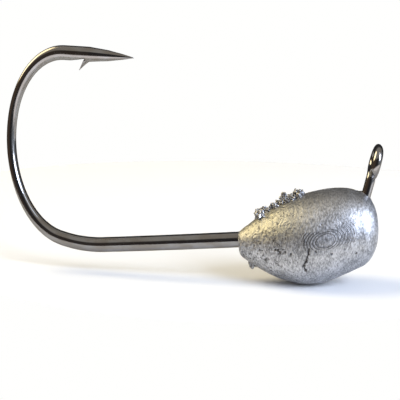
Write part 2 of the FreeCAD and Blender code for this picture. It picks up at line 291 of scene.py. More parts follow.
# %% Straight runs and bends
class WireEnd:
    """One open end of the wire: its rim, its centre, its heading and its length so far."""

    def __init__(self, rim, centre, heading, sign):
        self.rim = rim
        self.centre = centre.copy()
        self.heading = heading.copy()
        self.sign = sign
        self.length = 0.0

    def mark(self, step):
        """Writes how far along the wire the new rim is."""
        self.length += step
        for corner in corners_of(self.rim):
            _, side, top = corner[place_layer]
            corner[place_layer] = Vector((self.sign * self.length, side, top))

    def straight(self, length, spacing=1.0, end_radius=None, start_radius=None):
        """Pulls the rim straight on, and tapers it when an end radius is given."""
        count = max(1, round(length / spacing))
        for number in range(count):
            self.rim = grow_rim(wire, self.rim)
            corners = corners_of(self.rim)
            bmesh.ops.translate(wire, verts=corners, vec=self.heading * (length / count))
            self.centre += self.heading * (length / count)
            if end_radius is not None:
                taper = (end_radius - start_radius) / count
                before = start_radius + taper * number
                self.swell((before + taper) / before)
            self.mark(length / count)

    def swell(self, factor):
        """Scales the rim about its centre."""
        bmesh.ops.scale(
            wire,
            vec=(factor, factor, factor),
            space=Matrix.Translation(-self.centre),
            verts=corners_of(self.rim),
        )

    def bend(self, radius, sweep, axis, spacing=BEND_RING_SPACING):
        """Spins the rim round a pin whose axis is given, by the sweep in degrees."""
        pin = self.centre + axis.cross(self.heading) * radius
        count = max(2, round(radius * math.radians(sweep) / spacing))
        turn = math.radians(sweep) / count
        for _ in range(count):
            made = bmesh.ops.spin(
                wire, geom=self.rim, cent=pin, axis=axis, angle=turn, steps=1, use_duplicate=False
            )["geom_last"]
            self.rim = [part for part in made if isinstance(part, bmesh.types.BMEdge)]
            self.mark(radius * turn)
        rotation = Matrix.Rotation(math.radians(sweep), 3, axis)
        self.centre = pin + rotation @ (self.centre - pin)
        self.heading = rotation @ self.heading


# %% Draw the shank and the round bend
SHANK_LENGTH = 20.36
# Each bend: radius of the wire's middle line, sweep in degrees.
BENDS = [(29.95, 13.8), (10.14, 98.5), (8.71, 76.0)]
THROAT_LENGTH = 4.16

hook_end = WireEnd(joint_rim, Vector((JOINT_X, 0, 0)), -X_AXIS, 1)
hook_end.straight(JOINT_X + SHANK_LENGTH, spacing=0.8)
for bend_radius, bend_sweep in BENDS:
    hook_end.bend(bend_radius, bend_sweep, Y_AXIS)
hook_end.straight(THROAT_LENGTH, NOTCH_RING_SPACING)
point_base = hook_end.centre.copy()
point_heading = hook_end.heading.copy()
print("the point starts at", [round(value, 2) for value in point_base], "mm")

# %% Draw the point
# The grinder leaves the cone very slightly full near its base. Each part of the cone: its
# share of the length, and its end radius as a share of the wire's.
POINT_LENGTH = 6.81
TIP_RADIUS = 0.03
CONE_PARTS = [(0.12, 0.915), (0.30, 0.73), (0.33, 0.375), (0.25, TIP_RADIUS / WIRE_RADIUS)]

radius_now = WIRE_RADIUS
for share, size in CONE_PARTS:
    hook_end.straight(POINT_LENGTH * share, POINT_RING_SPACING, WIRE_RADIUS * size, radius_now)
    radius_now = WIRE_RADIUS * size
bmesh.ops.edgeloop_fill(wire, edges=hook_end.rim)
print("the wire is", round(hook_end.length, 1), "mm long from the joint to the tip")

# %% [markdown]
# ## The line eye
# In front of the joint the wire runs on inside the lead, turns up, leaves the head as a short
# leg, and is curled round a pin into a ring. The ring stands square to the hook's plane, so a
# tied line pulls straight. The cut end comes back against the neck and leaves a small seam.

# %% Draw the leg and the eye
LEG_ANGLE = 66.0
LEG_BEND_RADIUS = 2.2
LEG_FOOT_X = 16.71
LEG_TOP_Z = 4.98
NECK_RADIUS = 0.90
EYE_RADIUS = 1.19
EYE_SWEEP = 304.0
DRAW_DOWN_LENGTH = 0.2
EYE_BORE_RADIUS = frame["record"]["mounts"][0]["dims"]["r_mm"]

corner_cut = LEG_BEND_RADIUS * math.tan(math.radians(LEG_ANGLE / 2))
leg_length = LEG_TOP_Z / math.sin(math.radians(LEG_ANGLE)) - corner_cut
eye_end = WireEnd(joint_rim, Vector((JOINT_X, 0, 0)), X_AXIS, -1)
eye_end.straight(DRAW_DOWN_LENGTH, DRAW_DOWN_LENGTH, EYE_WIRE_RADIUS, WIRE_RADIUS)
eye_end.straight(LEG_FOOT_X - corner_cut - JOINT_X - DRAW_DOWN_LENGTH, spacing=1.2)
eye_end.bend(LEG_BEND_RADIUS, LEG_ANGLE, -Y_AXIS)
eye_end.straight(leg_length, spacing=0.25)
ring_axis = eye_end.heading.cross(Y_AXIS)
neck_turn = math.degrees(math.acos(NECK_RADIUS / (EYE_RADIUS + NECK_RADIUS)))
eye_end.bend(NECK_RADIUS, neck_turn, ring_axis, EYE_RING_SPACING)
eye_centre = eye_end.centre - ring_axis.cross(eye_end.heading) * EYE_RADIUS
eye_end.bend(EYE_RADIUS, EYE_SWEEP, -ring_axis, EYE_RING_SPACING)
print("the ring's centre is at", [round(value, 2) for value in eye_centre], "mm")

# %% Cut the wire off and press the land of the bore
CUT_BEVEL = 0.07
bmesh.ops.edgeloop_fill(wire, edges=eye_end.rim)
bmesh.ops.bevel(
    wire,
    geom=eye_end.rim,
    offset=CUT_BEVEL,
    affect="EDGES",
    segments=2,
    profile=0.5,
    material=-1,
)


def press_land(corner):
    """Pushes a corner out of the bore's cylinder, as the pin did when the eye was curled."""
    offset = corner.co - eye_centre
    flat = offset - ring_axis * offset.dot(ring_axis)
    if flat.length < EYE_BORE_RADIUS:
        corner.co += flat.normalized() * (EYE_BORE_RADIUS - flat.length)


for corner in wire.verts:
    press_land(corner)

# %% [markdown]
# ## The barb
# A barb is a chip that a chisel raises from the wire and doesn't cut off. Behind it is the
# flat slope that the chisel left. The slope is made by moving the corners of the throat up
# to one plane. The chip is D-shaped, flat behind and round in front, and thins to its tip:
# it is a half circle pulled from the root to the tip, and a boolean joins it to the wire.

# %% Slope the notch behind the barb
to_point_frame = Matrix.Translation(point_base) @ Matrix.Rotation(
    math.atan2(-point_heading.z, point_heading.x), 4, "Y"
)
BARB_BACK = (Vector((-0.72, 0, -0.45)), Vector((-1.64, 0, -1.70)))
NOTCH_LENGTH = 2.40


def slope_notch(corner):
    """Moves a corner that is under the chisel's plane up on to it."""
    local = to_point_frame.inverted() @ corner.co
    behind = (BARB_BACK[0].x - local.x) / NOTCH_LENGTH
    if 0.0 <= behind <= 1.0:
        floor_z = BARB_BACK[0].z - (WIRE_RADIUS + BARB_BACK[0].z) * behind
        if local.z < floor_z:
            local.z = floor_z
            corner.co = to_point_frame @ local


for corner in wire.verts:
    if corner.co.z > point_base.z - 2 * WIRE_RADIUS:
        slope_notch(corner)
bmesh.ops.recalc_face_normals(wire, faces=wire.faces)
hook = finish_piece("hook_wire", wire, dark_nickel)


# %% Raise the chip
BARB_SECTIONS = 14
BARB_HALF_WIDTH, BARB_TIP_HALF_WIDTH = 0.34, 0.03
BARB_THINNING = 0.7
BARB_FRONT = [Vector((0.50, 0, -0.52)), Vector((-0.46, 0, -0.86)), Vector((-1.65, 0, -1.725))]


def barb_section(share):
    """The matrix that lays a unit half circle across the chip at a share of its height."""
    back_edge = BARB_BACK[0].lerp(BARB_BACK[1], share)
    front_edge = BARB_FRONT[0].lerp(BARB_FRONT[1], share).lerp(
        BARB_FRONT[1].lerp(BARB_FRONT[2], share), share
    )
    across = front_edge - back_edge
    half_width = BARB_HALF_WIDTH * (1 - share) ** BARB_THINNING + BARB_TIP_HALF_WIDTH
    along = across.normalized().cross(Y_AXIS)
    columns = Matrix((across, Y_AXIS * half_width, along)).transposed().to_4x4()
    return to_point_frame @ Matrix.Translation(back_edge) @ columns


def make_barb():
    """The chip's closed shape, from a root sunk in the wire to its thin tip."""
    chip = bmesh.new()
    chip_place = chip.verts.layers.float_vector.new("straightened")
    bmesh.ops.create_circle(chip, cap_ends=True, radius=1.0, segments=28)
    for corner in chip.verts:
        corner.co.x = max(corner.co.x, 0.0)
    before = barb_section(0.0)
    bmesh.ops.transform(chip, matrix=before, verts=chip.verts)
    tip = list(chip.faces)
    for number in range(1, BARB_SECTIONS + 1):
        made = bmesh.ops.extrude_face_region(chip, geom=tip, use_keep_orig=number == 1)["geom"]
        corners = [part for part in made if isinstance(part, bmesh.types.BMVert)]
        tip = [part for part in made if isinstance(part, bmesh.types.BMFace)]
        after = barb_section(number / BARB_SECTIONS)
        bmesh.ops.transform(chip, matrix=after @ before.inverted(), verts=corners)
        before = after
    for corner in chip.verts:
        corner[chip_place] = Vector((hook_end.length, corner.co.y, corner.co.z))
    bmesh.ops.remove_doubles(chip, verts=chip.verts, dist=0.0005)
    bmesh.ops.recalc_face_normals(chip, faces=chip.faces)
    return finish_piece("barb_chip", chip, dark_nickel)


barb = make_barb()

# %% Join the chip to the wire
join = hook.modifiers.new("barb", "BOOLEAN")
join.operation = "UNION"
join.solver = "EXACT"
join.object = barb
joined = bpy.data.meshes.new_from_object(hook.evaluated_get(bpy.context.evaluated_depsgraph_get()))
hook.modifiers.clear()
hook.data = joined
bpy.data.objects.remove(barb)
print("the hook has", len(joined.polygons), "faces with its barb")

# %% [markdown]
# ## The lead's finish
# Freshly cast lead is bright and soft-looking, and dulls to grey in days. It is still a bare
# metal, so it takes its light and dark from what is round it, blurred by a fine grain. The
# grain is frosty crystals over patches of thicker oxide, with short scratches from handling.
# The top is darkened as painted shade, for the dark room that it mirrors. The rear is coarser,
# with dark freckles, and its upper part has a pale yellow tint that is partly a tarnished film
# and partly a painted warm sheen from the lamp at the upper left. Painted shade darkens the pits
# and the corners of the mould's steps. All of it but this painted shade follows the object's own
# coordinates, changed to millimetres so that the scales are easy to read. The painted shade
# follows an attribute that is written when the relief is made.

# %% Make the cast lead and the torn lead
# The oxide colour also darkens the top as painted shade. The yellow is partly a tarnished film and
# partly a painted warm sheen. The darkest colour serves both the rear's freckles and the painted
# shade in hollows.
LEAD_CLEAN = (0.68, 0.675, 0.685)
LEAD_OXIDE_AND_SHADE = (0.27, 0.27, 0.275)
LEAD_YELLOW_AND_SHEEN = (0.50, 0.47, 0.34)
LEAD_FRECKLE_AND_SHADE = (0.085, 0.08, 0.078)
LEAD_EDGE = (0.55, 0.55, 0.56, 1.0)


def make_cast_lead(name, bright, shine, film_and_sheen_tint):
    """Brighter or glossier grey lead, its upper rear tinted for tarnished film and painted sheen.
    """
    material, tree, shader = new_material(name)
    metres = add_node(tree, "ShaderNodeTexCoord").outputs["Object"]
    place = scaled(tree, metres, (1 / MM, 1 / MM, 1 / MM))
    patches = speckle(tree, place, 0.7, 3.0, 0.5)
    frost = speckle(tree, scaled(tree, place, (1.3, 1.0, 0.8)), 4.4, 4.0, 0.65)
    skin = arithmetic(tree, "ADD", frost, arithmetic(tree, "MULTIPLY", patches, 0.35))
    colour = blend_colours(
        tree,
        spread(tree, skin, 0.50, 0.85, 0.0, 1.0),
        [value * bright for value in LEAD_OXIDE_AND_SHADE],
        [min(value * bright, 0.85) for value in LEAD_CLEAN],
    )
    sides = add_node(tree, "ShaderNodeSeparateXYZ", {"Vector": place}).outputs
    # The upper rear is tinted yellow: partly a tarnished film, partly a painted warm sheen of the
    # lamp.
    upper = spread(tree, sides["Z"], -0.6, 1.4, 0.0, 1.0)
    rear = spread(tree, sides["X"], 4.5, 12.5, 1.0, 0.0)
    yellow_film_and_sheen = arithmetic(tree, "MULTIPLY", upper, rear)
    yellow_film_and_sheen = arithmetic(tree, "MULTIPLY", yellow_film_and_sheen, spread(tree, skin, 0.52, 0.80, 0.15, 0.85))
    colour = blend_colours(tree, yellow_film_and_sheen, colour, film_and_sheen_tint)
    # The top is darkened towards the oxide colour as painted shade, for the dark room it mirrors.
    top = spread(tree, sides["Z"], 1.8, 4.2, 0.0, 0.6)
    colour = blend_colours(tree, top, colour, LEAD_OXIDE_AND_SHADE)
    freckles = speckle(tree, scaled(tree, place, (0.8, 1.0, 1.3)), 3.0, 3.0, 0.6)
    freckles = spread(tree, freckles, 0.56, 0.66, 0.0, 0.8)
    colour = blend_colours(tree, arithmetic(tree, "MULTIPLY", freckles, rear), colour, LEAD_FRECKLE_AND_SHADE)
    # Painted shade in the pits, the crack, the steps' corners and the crumbs' folds, from an
    # attribute.
    recess_shade = add_node(tree, "ShaderNodeAttribute", attribute_name="recess_shade").outputs["Fac"]
    ragged_recess_shade = arithmetic(tree, "MULTIPLY", recess_shade, spread(tree, frost, 0.25, 0.6, 0.7, 1.0))
    colour = blend_colours(tree, ragged_recess_shade, colour, LEAD_FRECKLE_AND_SHADE)
    tree.links.new(colour, shader.inputs["Base Color"])
    scratches = speckle(tree, scaled(tree, place, (1.2, 9.0, 9.0)), 1.0, 3.0)
    dullness = arithmetic(tree, "ADD", frost, arithmetic(tree, "MULTIPLY", scratches, 0.6))
    dullness = spread(tree, dullness, 0.5, 1.1, 0.40 - shine, 0.56 - shine)
    tree.links.new(dullness, shader.inputs["Roughness"])
    coarse = arithmetic(tree, "MULTIPLY", speckle(tree, place, 2.6, 3.0, 0.6), rear)
    bumps = raise_by(tree, coarse, 0.9, 0.14 * MM)
    bumps = raise_by(tree, frost, 0.42, 0.033 * MM, bumps)
    bumps = raise_by(tree, speckle(tree, place, 14.0, 2.0), 0.45, 0.014 * MM, bumps)
    bumps = raise_by(tree, scratches, 0.22, 0.015 * MM, bumps)
    tree.links.new(bumps, shader.inputs["Normal"])
    shader.inputs["Metallic"].default_value = 1.0
    shader.inputs["Specular Tint"].default_value = LEAD_EDGE
    return material


cast_lead = make_cast_lead("cast_lead", 1.0, 0.0, LEAD_YELLOW_AND_SHEEN)
torn_lead = make_cast_lead("torn_lead", 1.25, 0.12, LEAD_CLEAN)
print("made", cast_lead.name, "and", torn_lead.name)

# %% [markdown]
# ## The head
# The head is round in every cross-section and egg-shaped from the side, blunt at the nose and
# narrow at the tail. Its middle line climbs a little towards the nose, so it can't be one
# turned shape. A ring of edges is pulled from the tail to the nose instead, and moved and
# scaled at each step to the size that the section has there.

# %% Head sections
# Each section: distance from the tail, height of its centre, radius.
HEAD_SECTIONS = [
    (0.0, -0.37, 1.15),
    (2.6, -0.40, 2.40),
    (5.6, -0.38, 3.52),
    (9.0, -0.31, 4.29),
    (12.2, -0.05, 4.46),
    (15.2, 0.30, 4.16),
    (17.6, 0.40, 3.62),
]
NOSE_X = 19.98
NOSE_ROUND_RADIUS = 3.34
NOSE_FLAT_RADIUS = 0.42
# The steps along the head are finest where the mould's rings lie, and the corners of each
# section crowd towards the flanks.
HEAD_SIDES = 330
FINE_STEP, COARSE_STEP = 0.052, 0.125
FINE_FROM, FINE_TO = 8.6, 16.8
FLANK_CROWDING = 0.22
TAIL_ROUNDING, TAIL_ROUNDING_LENGTH = 0.22, 0.5


def slope_at(index, column):
    """How fast a section value changes at a section, from its two neighbours."""
    before = HEAD_SECTIONS[max(index - 1, 0)]
    after = HEAD_SECTIONS[min(index + 1, len(HEAD_SECTIONS) - 1)]
    return (after[column] - before[column]) / (after[0] - before[0])


def section_at(x):
    """The centre height and radius at x, smooth through every section."""
    index = max(i for i, section in enumerate(HEAD_SECTIONS[:-1]) if section[0] <= x)
    low, high = HEAD_SECTIONS[index], HEAD_SECTIONS[index + 1]
    run = high[0] - low[0]
    t = (x - low[0]) / run
    values = []
    for column in (1, 2):
        values.append(
            (1 + 2 * t) * (1 - t) ** 2 * low[column]
            + t * (1 - t) ** 2 * run * slope_at(index, column)
            + t * t * (3 - 2 * t) * high[column]
            + t * t * (t - 1) * run * slope_at(index + 1, column)
        )
    values[1] -= TAIL_ROUNDING * (1 - smooth(x, 0.0, TAIL_ROUNDING_LENGTH)) ** 2
    return values


# %% Pull the head from its tail to its nose
CHANNEL_RADIUS = WIRE_RADIUS + 0.02
CHANNEL_DEPTH = 1.5
# Each ring of the channel's mouth: x, height of its centre, radius.
CHANNEL_MOUTH = [(0.5, 0.0, CHANNEL_RADIUS), (0.14, -0.01, 0.80), (0.04, -0.08, 0.86)]


class HeadRing:
    """The open ring of the head while it is pulled forward."""

    def __init__(self, shape, x, radius):
        self.shape = shape
        self.x, self.z, self.radius = x, 0.0, radius
        upright = Matrix.Translation((x, 0, 0)) @ Matrix.Rotation(math.pi / 2, 4, "Y")
        bmesh.ops.create_circle(
            shape, cap_ends=True, radius=radius, segments=HEAD_SIDES, matrix=upright
        )
        for corner in shape.verts:
            turn = math.atan2(corner.co.z, corner.co.y)
            turn -= FLANK_CROWDING * math.sin(2 * turn)
            corner.co.y, corner.co.z = radius * math.cos(turn), radius * math.sin(turn)
        self.rim = list(shape.edges)

    def pull(self, x, z, radius):
        """Grows the ring to a new place and size."""
        self.rim = grow_rim(self.shape, self.rim)
        corners = corners_of(self.rim)
        factor = radius / self.radius
        about = Matrix.Translation((-self.x, 0, -self.z))
        bmesh.ops.scale(self.shape, vec=(1, factor, factor), space=about, verts=corners)
        bmesh.ops.translate(self.shape, verts=corners, vec=(x - self.x, 0, z - self.z))
        self.x, self.z, self.radius = x, z, radius


head = bmesh.new()
ring = HeadRing(head, CHANNEL_DEPTH, CHANNEL_RADIUS)
for x, z, radius in CHANNEL_MOUTH:
    ring.pull(x, z, radius)
tail_z, tail_radius = section_at(0.0)
_, mouth_z, mouth_radius = CHANNEL_MOUTH[-1]
for share in (0.35, 0.7):
    z = mouth_z + (tail_z - mouth_z) * share
    ring.pull(0.0, z, mouth_radius + (tail_radius - mouth_radius) * share)
cheek_x = HEAD_SECTIONS[-1][0]
for start, end, step in (
    (0.0, TAIL_ROUNDING_LENGTH, TAIL_ROUNDING_LENGTH / 8),
    (TAIL_ROUNDING_LENGTH, FINE_FROM, COARSE_STEP),
    (FINE_FROM, FINE_TO, FINE_STEP),
    (FINE_TO, cheek_x, COARSE_STEP),
):
    count = round((end - start) / step)
    for number in range(1, count + 1):
        x = start + (end - start) * number / count
        ring.pull(x, *section_at(x))

nose_centre_x = NOSE_X - NOSE_ROUND_RADIUS
cheek_z, cheek_radius = section_at(cheek_x)
cheek_angle = math.atan2(cheek_radius - NOSE_FLAT_RADIUS, cheek_x - nose_centre_x)
nose_steps = round(NOSE_ROUND_RADIUS * cheek_angle / COARSE_STEP)
for number in range(1, nose_steps + 1):
    angle = cheek_angle * (1 - number / nose_steps)
    x = nose_centre_x + NOSE_ROUND_RADIUS * math.cos(angle)
    ring.pull(x, cheek_z, NOSE_FLAT_RADIUS + NOSE_ROUND_RADIUS * math.sin(angle))
for share in (0.75, 0.5, 0.25, 0.05):
    ring.pull(NOSE_X, cheek_z, NOSE_FLAT_RADIUS * share)
bmesh.ops.edgeloop_fill(head, edges=ring.rim)
bmesh.ops.recalc_face_normals(head, faces=head.faces)
print("the plain head has", len(head.faces), "faces")

# %% [markdown]
# ## What the mould and the lead did to the surface
# The mould was cut in thin layers, nearly parallel to its parting plane, Y = 0, and the lead
# copied the steps: on each flank they show as evenly spaced rings near the widest spot, with
# painted shade in their corners. The lead also chilled as it ran, which left pits, one crack
# where two streams met, and a faint ridge where the mould's halves meet. All of this is real
# relief, so it is done by moving the corners of the mesh, and the material only adds what is
# finer, besides the painted shade in the hollows.

# %% Layer steps
FIRST_RING_RADIUS, FIRST_RING_DEPTH = 1.35, 0.046
RING_STEP = 0.40
RISER_START, RISER_MIDDLE = 0.74, 0.84
GROOVE_DEPTH = 0.045
GROOVE_SPREAD = 0.18
WIDEST_X, WIDEST_Z = 12.2, 0.22
MOULD_TILT_X, MOULD_TILT_Z = 0.021, 0.061
# The rings fade out between these limits: facing, height off the band's middle, ahead, behind.
FACING_FADE, ASIDE_FADE = (0.86, 0.93), (0.72, 1.0)
AHEAD_FADE, BEHIND_FADE = (3.9, 4.6), (2.9, 3.5)
BAND_CLIMB, BAND_WIDENING = 0.19, 0.06


def reach(point):
    """How far out a point is, square to the layers, which lie a little askew."""
    return abs(point.y) + MOULD_TILT_X * point.x + MOULD_TILT_Z * point.z


farthest = max(reach(corner.co) for corner in head.verts)


def ring_depth(number):
    """How deep the lead lies at a ring, counted outwards from the middle of the rings."""
    radius = FIRST_RING_RADIUS + (number - RISER_MIDDLE) * RING_STEP
    return FIRST_RING_DEPTH * (radius / FIRST_RING_RADIUS) ** 2


def layer_step(point, normal):
    """How far a corner moves along Y to its layer's flat, and how far it is in a step."""
    depth = farthest - reach(point)
    radius = FIRST_RING_RADIUS * math.sqrt(depth / FIRST_RING_DEPTH)
    number = (radius - FIRST_RING_RADIUS) / RING_STEP + RISER_MIDDLE
    whole = max(math.floor(number), 0)
    part = number - whole
    corner_of_step = math.exp(-(((part - RISER_MIDDLE) / GROOVE_SPREAD) ** 2))
    ahead = point.x - WIDEST_X
    onward = max(ahead, 0.0)
    aside = abs(point.z - WIDEST_Z - BAND_CLIMB * onward) - BAND_WIDENING * onward
    strength = smooth(abs(normal.y), *FACING_FADE) * (1 - smooth(aside, *ASIDE_FADE))
    strength *= (1 - smooth(ahead, *AHEAD_FADE)) * (1 - smooth(-ahead, *BEHIND_FADE))
    flat = ring_depth(whole + smooth(part, RISER_START, 1.0))
    move = strength * (depth - flat - GROOVE_DEPTH * corner_of_step)
    return math.copysign(move, point.y), strength * corner_of_step


# %% Place the large pits and the cold crack
# Each pit: distance from the tail, angle above the flank's middle in degrees, radius, depth.
PITS = [
    (3.0, -5, 0.13, 0.07),
    (3.8, -25, 0.17, 0.10),
    (4.0, -22, 0.11, 0.06),
    (4.3, -21, 0.09, 0.05),
    (4.6, -40, 0.12, 0.08),
    (5.3, -2, 0.13, 0.07),
    (5.7, -3, 0.16, 0.08),
    (5.9, -6, 0.12, 0.06),
    (6.4, -2, 0.11, 0.05),
    (6.7, -5, 0.12, 0.06),
    (7.4, -8, 0.13, 0.07),
    (9.80, -9, 0.14, 0.11),
    (9.55, -18, 0.15, 0.10),
    (9.14, -25, 0.19, 0.12),
    (9.40, -32, 0.20, 0.13),
    (10.8, -7, 0.12, 0.06),
    (12.9, -14, 0.12, 0.06),
    (16.4, -25, 0.13, 0.06),
    (4.4, 164, 0.15, 0.08),
    (6.9, 172, 0.12, 0.07),
    (8.1, 197, 0.17, 0.08),
    (10.6, 205, 0.11, 0.05),
    (14.8, 222, 0.13, 0.06),
]
# Each point of the crack: distance from the tail, angle above the flank's middle in degrees.
CRACK = [
    (9.9, -2),
    (9.8, -6),
    (9.75, -10),
    (9.6, -14),
    (9.55, -18),
    (9.2, -22),
    (9.15, -27),
    (9.4, -33),
]
CRACK_HALF_WIDTH = 0.10
CRACK_DEPTH = 0.14

# %% Strew smaller pits
# They lie on both flanks, most of them behind the middle. The seed keeps them in place.
STREWN_COUNT, STREWN_SEED = 70, 11
STREWN_FROM, STREWN_LENGTH = 2.2, 15.0
STREWN_RADII = (0.055, 0.105)
STREWN_ANGLES = (-42, 30)
STREWN_FLATNESS = 0.5

strewing = random.Random(STREWN_SEED)
for _ in range(STREWN_COUNT):
    away = STREWN_FROM + STREWN_LENGTH * strewing.random() ** 1.5
    side = strewing.choice((0, 180))
    width = strewing.uniform(*STREWN_RADII)
    angle = side + strewing.uniform(*STREWN_ANGLES)
    PITS.append((away, angle, width, width * STREWN_FLATNESS))
print("the head has", len(PITS), "pits")


# %% Measure the pits and the crack
def on_flank(x, angle):
    """The point of the plain head at x and at an angle above the -Y flank's middle."""
    z, radius = section_at(x)
    turn = math.radians(angle)
    return Vector((x, -radius * math.cos(turn), z + radius * math.sin(turn)))


pit_spots = [(on_flank(x, angle), radius, depth) for x, angle, radius, depth in PITS]
crack_line = [on_flank(x, angle) for x, angle in CRACK]


def pit_depth(point):
    """How deep the nearest pit is at a point, with a ragged edge."""
    depth = 0.0
    ragged = 1 + 0.55 * noise.noise(point * 7.0)
    for spot, radius, deep in pit_spots:
        away = (point - spot).length / (radius * ragged)
        if away < 1.4:
            depth = max(depth, deep * (1 - smooth(away, 0.45, 1.4)))
    return depth


def crack_depth(point):
    """How deep the crack is at a point."""
    depth = 0.0
    for start, end in zip(crack_line, crack_line[1:]):
        run = end - start
        share = min(max((point - start).dot(run) / run.length_squared, 0.0), 1.0)
        away = (point - start - run * share).length
        width = CRACK_HALF_WIDTH * (1 + 1.3 * noise.noise(point * 4.0))
        depth = max(depth, CRACK_DEPTH * (1 - smooth(away / width, 0.2, 1.3)))
    return depth


# %% Grain, seam and gate
LEG_FOOT = Vector((17.9, 0.0, 2.7))
LEG_DIRECTION = Vector(
    (math.cos(math.radians(LEG_ANGLE)), 0, math.sin(math.radians(LEG_ANGLE)))
)
COLLAR_RISE, COLLAR_WIDTH = 0.07, 0.45
SEAM_RISE = 0.035


def rear_share(point):
    """How rough the casting is: most at the tail, least at the nose."""
    return 0.25 + 0.75 * (1 - smooth(point.x, 7.0, 13.5))


def grain_height(point):
    """Relief of the skin: broad dents, then two sizes of grain."""
    broad = 0.020 * noise.noise(point * 0.45)
    coarse = 0.028 * noise.noise(point * 2.2) * rear_share(point)
    fine = 0.015 * noise.noise(point * 5.0) * (0.35 + 0.65 * rear_share(point))
    return broad + coarse + fine


def seam_height(point):
    """The faint ridge of the parting plane, torn away here and there."""
    kept = smooth(noise.noise(Vector((point.x * 0.9, 0, 3.1 + point.z * 0.2))), -0.35, 0.15)
    return SEAM_RISE * kept * (1 - smooth(abs(point.y), 0.03, 0.16))


def gate_height(point):
    """The rough strip along the rear ridge, where the lead was poured in."""
    along = smooth(point.x, 2.2, 3.0) * (1 - smooth(point.x, 8.8, 9.8))
    across = 1 - smooth(abs(point.y), 0.35, 0.85)
    top = smooth(point.z, 0.3, 1.2)
    return along * across * top * (0.05 + 0.14 * noise.noise(point * 2.8))


def collar_height(point):
    """The small rise of lead where the leg comes out."""
    offset = point - LEG_FOOT
    away = (offset - LEG_DIRECTION * offset.dot(LEG_DIRECTION)).length
    near = smooth(offset.dot(LEG_DIRECTION), -1.5, 0.0)
    return near * COLLAR_RISE * (
        1 - smooth(away, EYE_WIRE_RADIUS, EYE_WIRE_RADIUS + COLLAR_WIDTH)
    )


# %% Move the corners of the head
# The skin starts a little low, so its bumps don't pass the plain head's outside. The channel
# in the tail keeps its size, because the wire fills it.
SKIN_DROP = 0.04
CHANNEL_END_X = 1.6
CHANNEL_EDGE = (0.84, 1.0)
# Depths over which pits are darkened as painted shade.
SHADED_DEPTHS = (0.012, 0.05)

# This attribute carries painted shade for the pits, the crack and the steps' corners.
recess_shade_layer = head.verts.layers.float.new("recess_shade")
head.normal_update()
deepest = 0.0
for corner in head.verts:
    point = corner.co.copy()
    shaft = math.hypot(point.y, point.z)
    skin = 1.0 if point.x > CHANNEL_END_X else smooth(shaft, *CHANNEL_EDGE)
    if skin == 0.0:
        continue
    normal = corner.normal.copy()
    step, step_shade = layer_step(point, normal)
    sunk = max(pit_depth(point), crack_depth(point))
    height = grain_height(point) + seam_height(point) + gate_height(point)
    height += collar_height(point) - sunk - SKIN_DROP
    corner.co += (normal * height + Vector((0, step, 0))) * skin
    corner[recess_shade_layer] = max(smooth(sunk, *SHADED_DEPTHS), step_shade)
    deepest = max(deepest, sunk)
print("the deepest pit is", round(deepest, 3), "mm")
lead_head = finish_piece("lead_weight", head, cast_lead)

# %% [markdown]
# ## Crumbs of lead
# Where the pouring gate was broken off, a row of small crumbs is left along the rear ridge.
# They are torn metal, so they are brighter than the cast skin and have no smooth side. Each
# is a ball of triangles, pushed in and out by noise of three sizes, and sunk in the ridge.
# The folds are darkened as painted shade, which an attribute tells the material.

# %% Make the crumbs
# Each crumb: distance from the tail, sideways offset, height over the head, radius.
CRUMBS = [
    (2.95, -0.10, 0.26, 0.46),
    (3.45, 0.30, 0.16, 0.34),
    (3.42, -0.72, 0.02, 0.34),
    (3.80, 0.05, 0.22, 0.36),
    (4.30, -0.35, 0.02, 0.28),
    (4.95, -0.12, 0.12, 0.34),
    (5.40, -0.60, 0.00, 0.27),
    (5.75, 0.28, 0.08, 0.31),
    (6.20, -0.30, 0.04, 0.28),
    (6.62, -0.05, 0.24, 0.40),
    (7.05, -0.62, 0.00, 0.30),
    (7.50, -0.20, 0.08, 0.33),
    (7.90, -0.70, -0.02, 0.30),
    (8.35, 0.05, 0.24, 0.38),
    (8.62, -0.62, 0.02, 0.34),
    (9.05, -0.22, 0.20, 0.32),
]
CRUMB_STRETCH = (1.2, 0.9, 0.95)
# How strongly the folds are darkened as painted shade.
FOLD_SHADE = 0.85


def ragged(point, size, seed):
    """How far the torn surface stands out at a point, as a share of the crumb's radius."""
    away = point / size + Vector((seed * 7.3, seed * 3.1, seed * 5.7))
    folds = abs(noise.noise(away * 1.2)) * 1.3
    flakes = noise.noise(away * 2.4) * 0.40
    return folds + flakes + noise.noise(away * 6.0) * 0.05 - 0.22


def add_lump(shape, centre, radius, seed, stretch, tearing=1.0):
    """A torn lump of lead, as a ball with its corners pushed along their spokes."""
    folds_shade = shape.verts.layers.float.get("recess_shade") or shape.verts.layers.float.new("recess_shade")
    made = bmesh.ops.create_icosphere(shape, subdivisions=4, radius=radius)["verts"]
    for corner in made:
        spoke = corner.co.normalized()
        push = ragged(corner.co, radius, seed) * tearing
        corner.co += spoke * radius * push
        corner[folds_shade] = FOLD_SHADE * (1 - smooth(push, -0.16, 0.14))
    bmesh.ops.scale(shape, vec=stretch, verts=made)
    bmesh.ops.translate(shape, vec=centre, verts=made)


crumbs = bmesh.new()
for number, (x, y, stand, radius) in enumerate(CRUMBS, start=1):
    z, section_radius = section_at(x)
    top = z + math.sqrt(section_radius**2 - y**2)
    add_lump(crumbs, (x, y, top + stand), radius, number, CRUMB_STRETCH)
gate_crumbs = finish_piece("torn_crumbs", crumbs, torn_lead)

# %% [markdown]
# ## The vent nib
# Under the tail a little lead ran into the mould's vent and was twisted off. It is two lumps
# of the same kind, one behind the other, but less torn and as dull as the cast skin.

# %% Make the nib
# Each lump: distance from the tail, height, radius, seed, stretch.
NIB_LUMPS = [
    (1.80, -2.32, 0.46, 31, (1.20, 0.80, 1.15)),
    (2.40, -2.42, 0.42, 32, (1.4, 0.80, 0.75)),
]
NIB_TEARING = 0.5

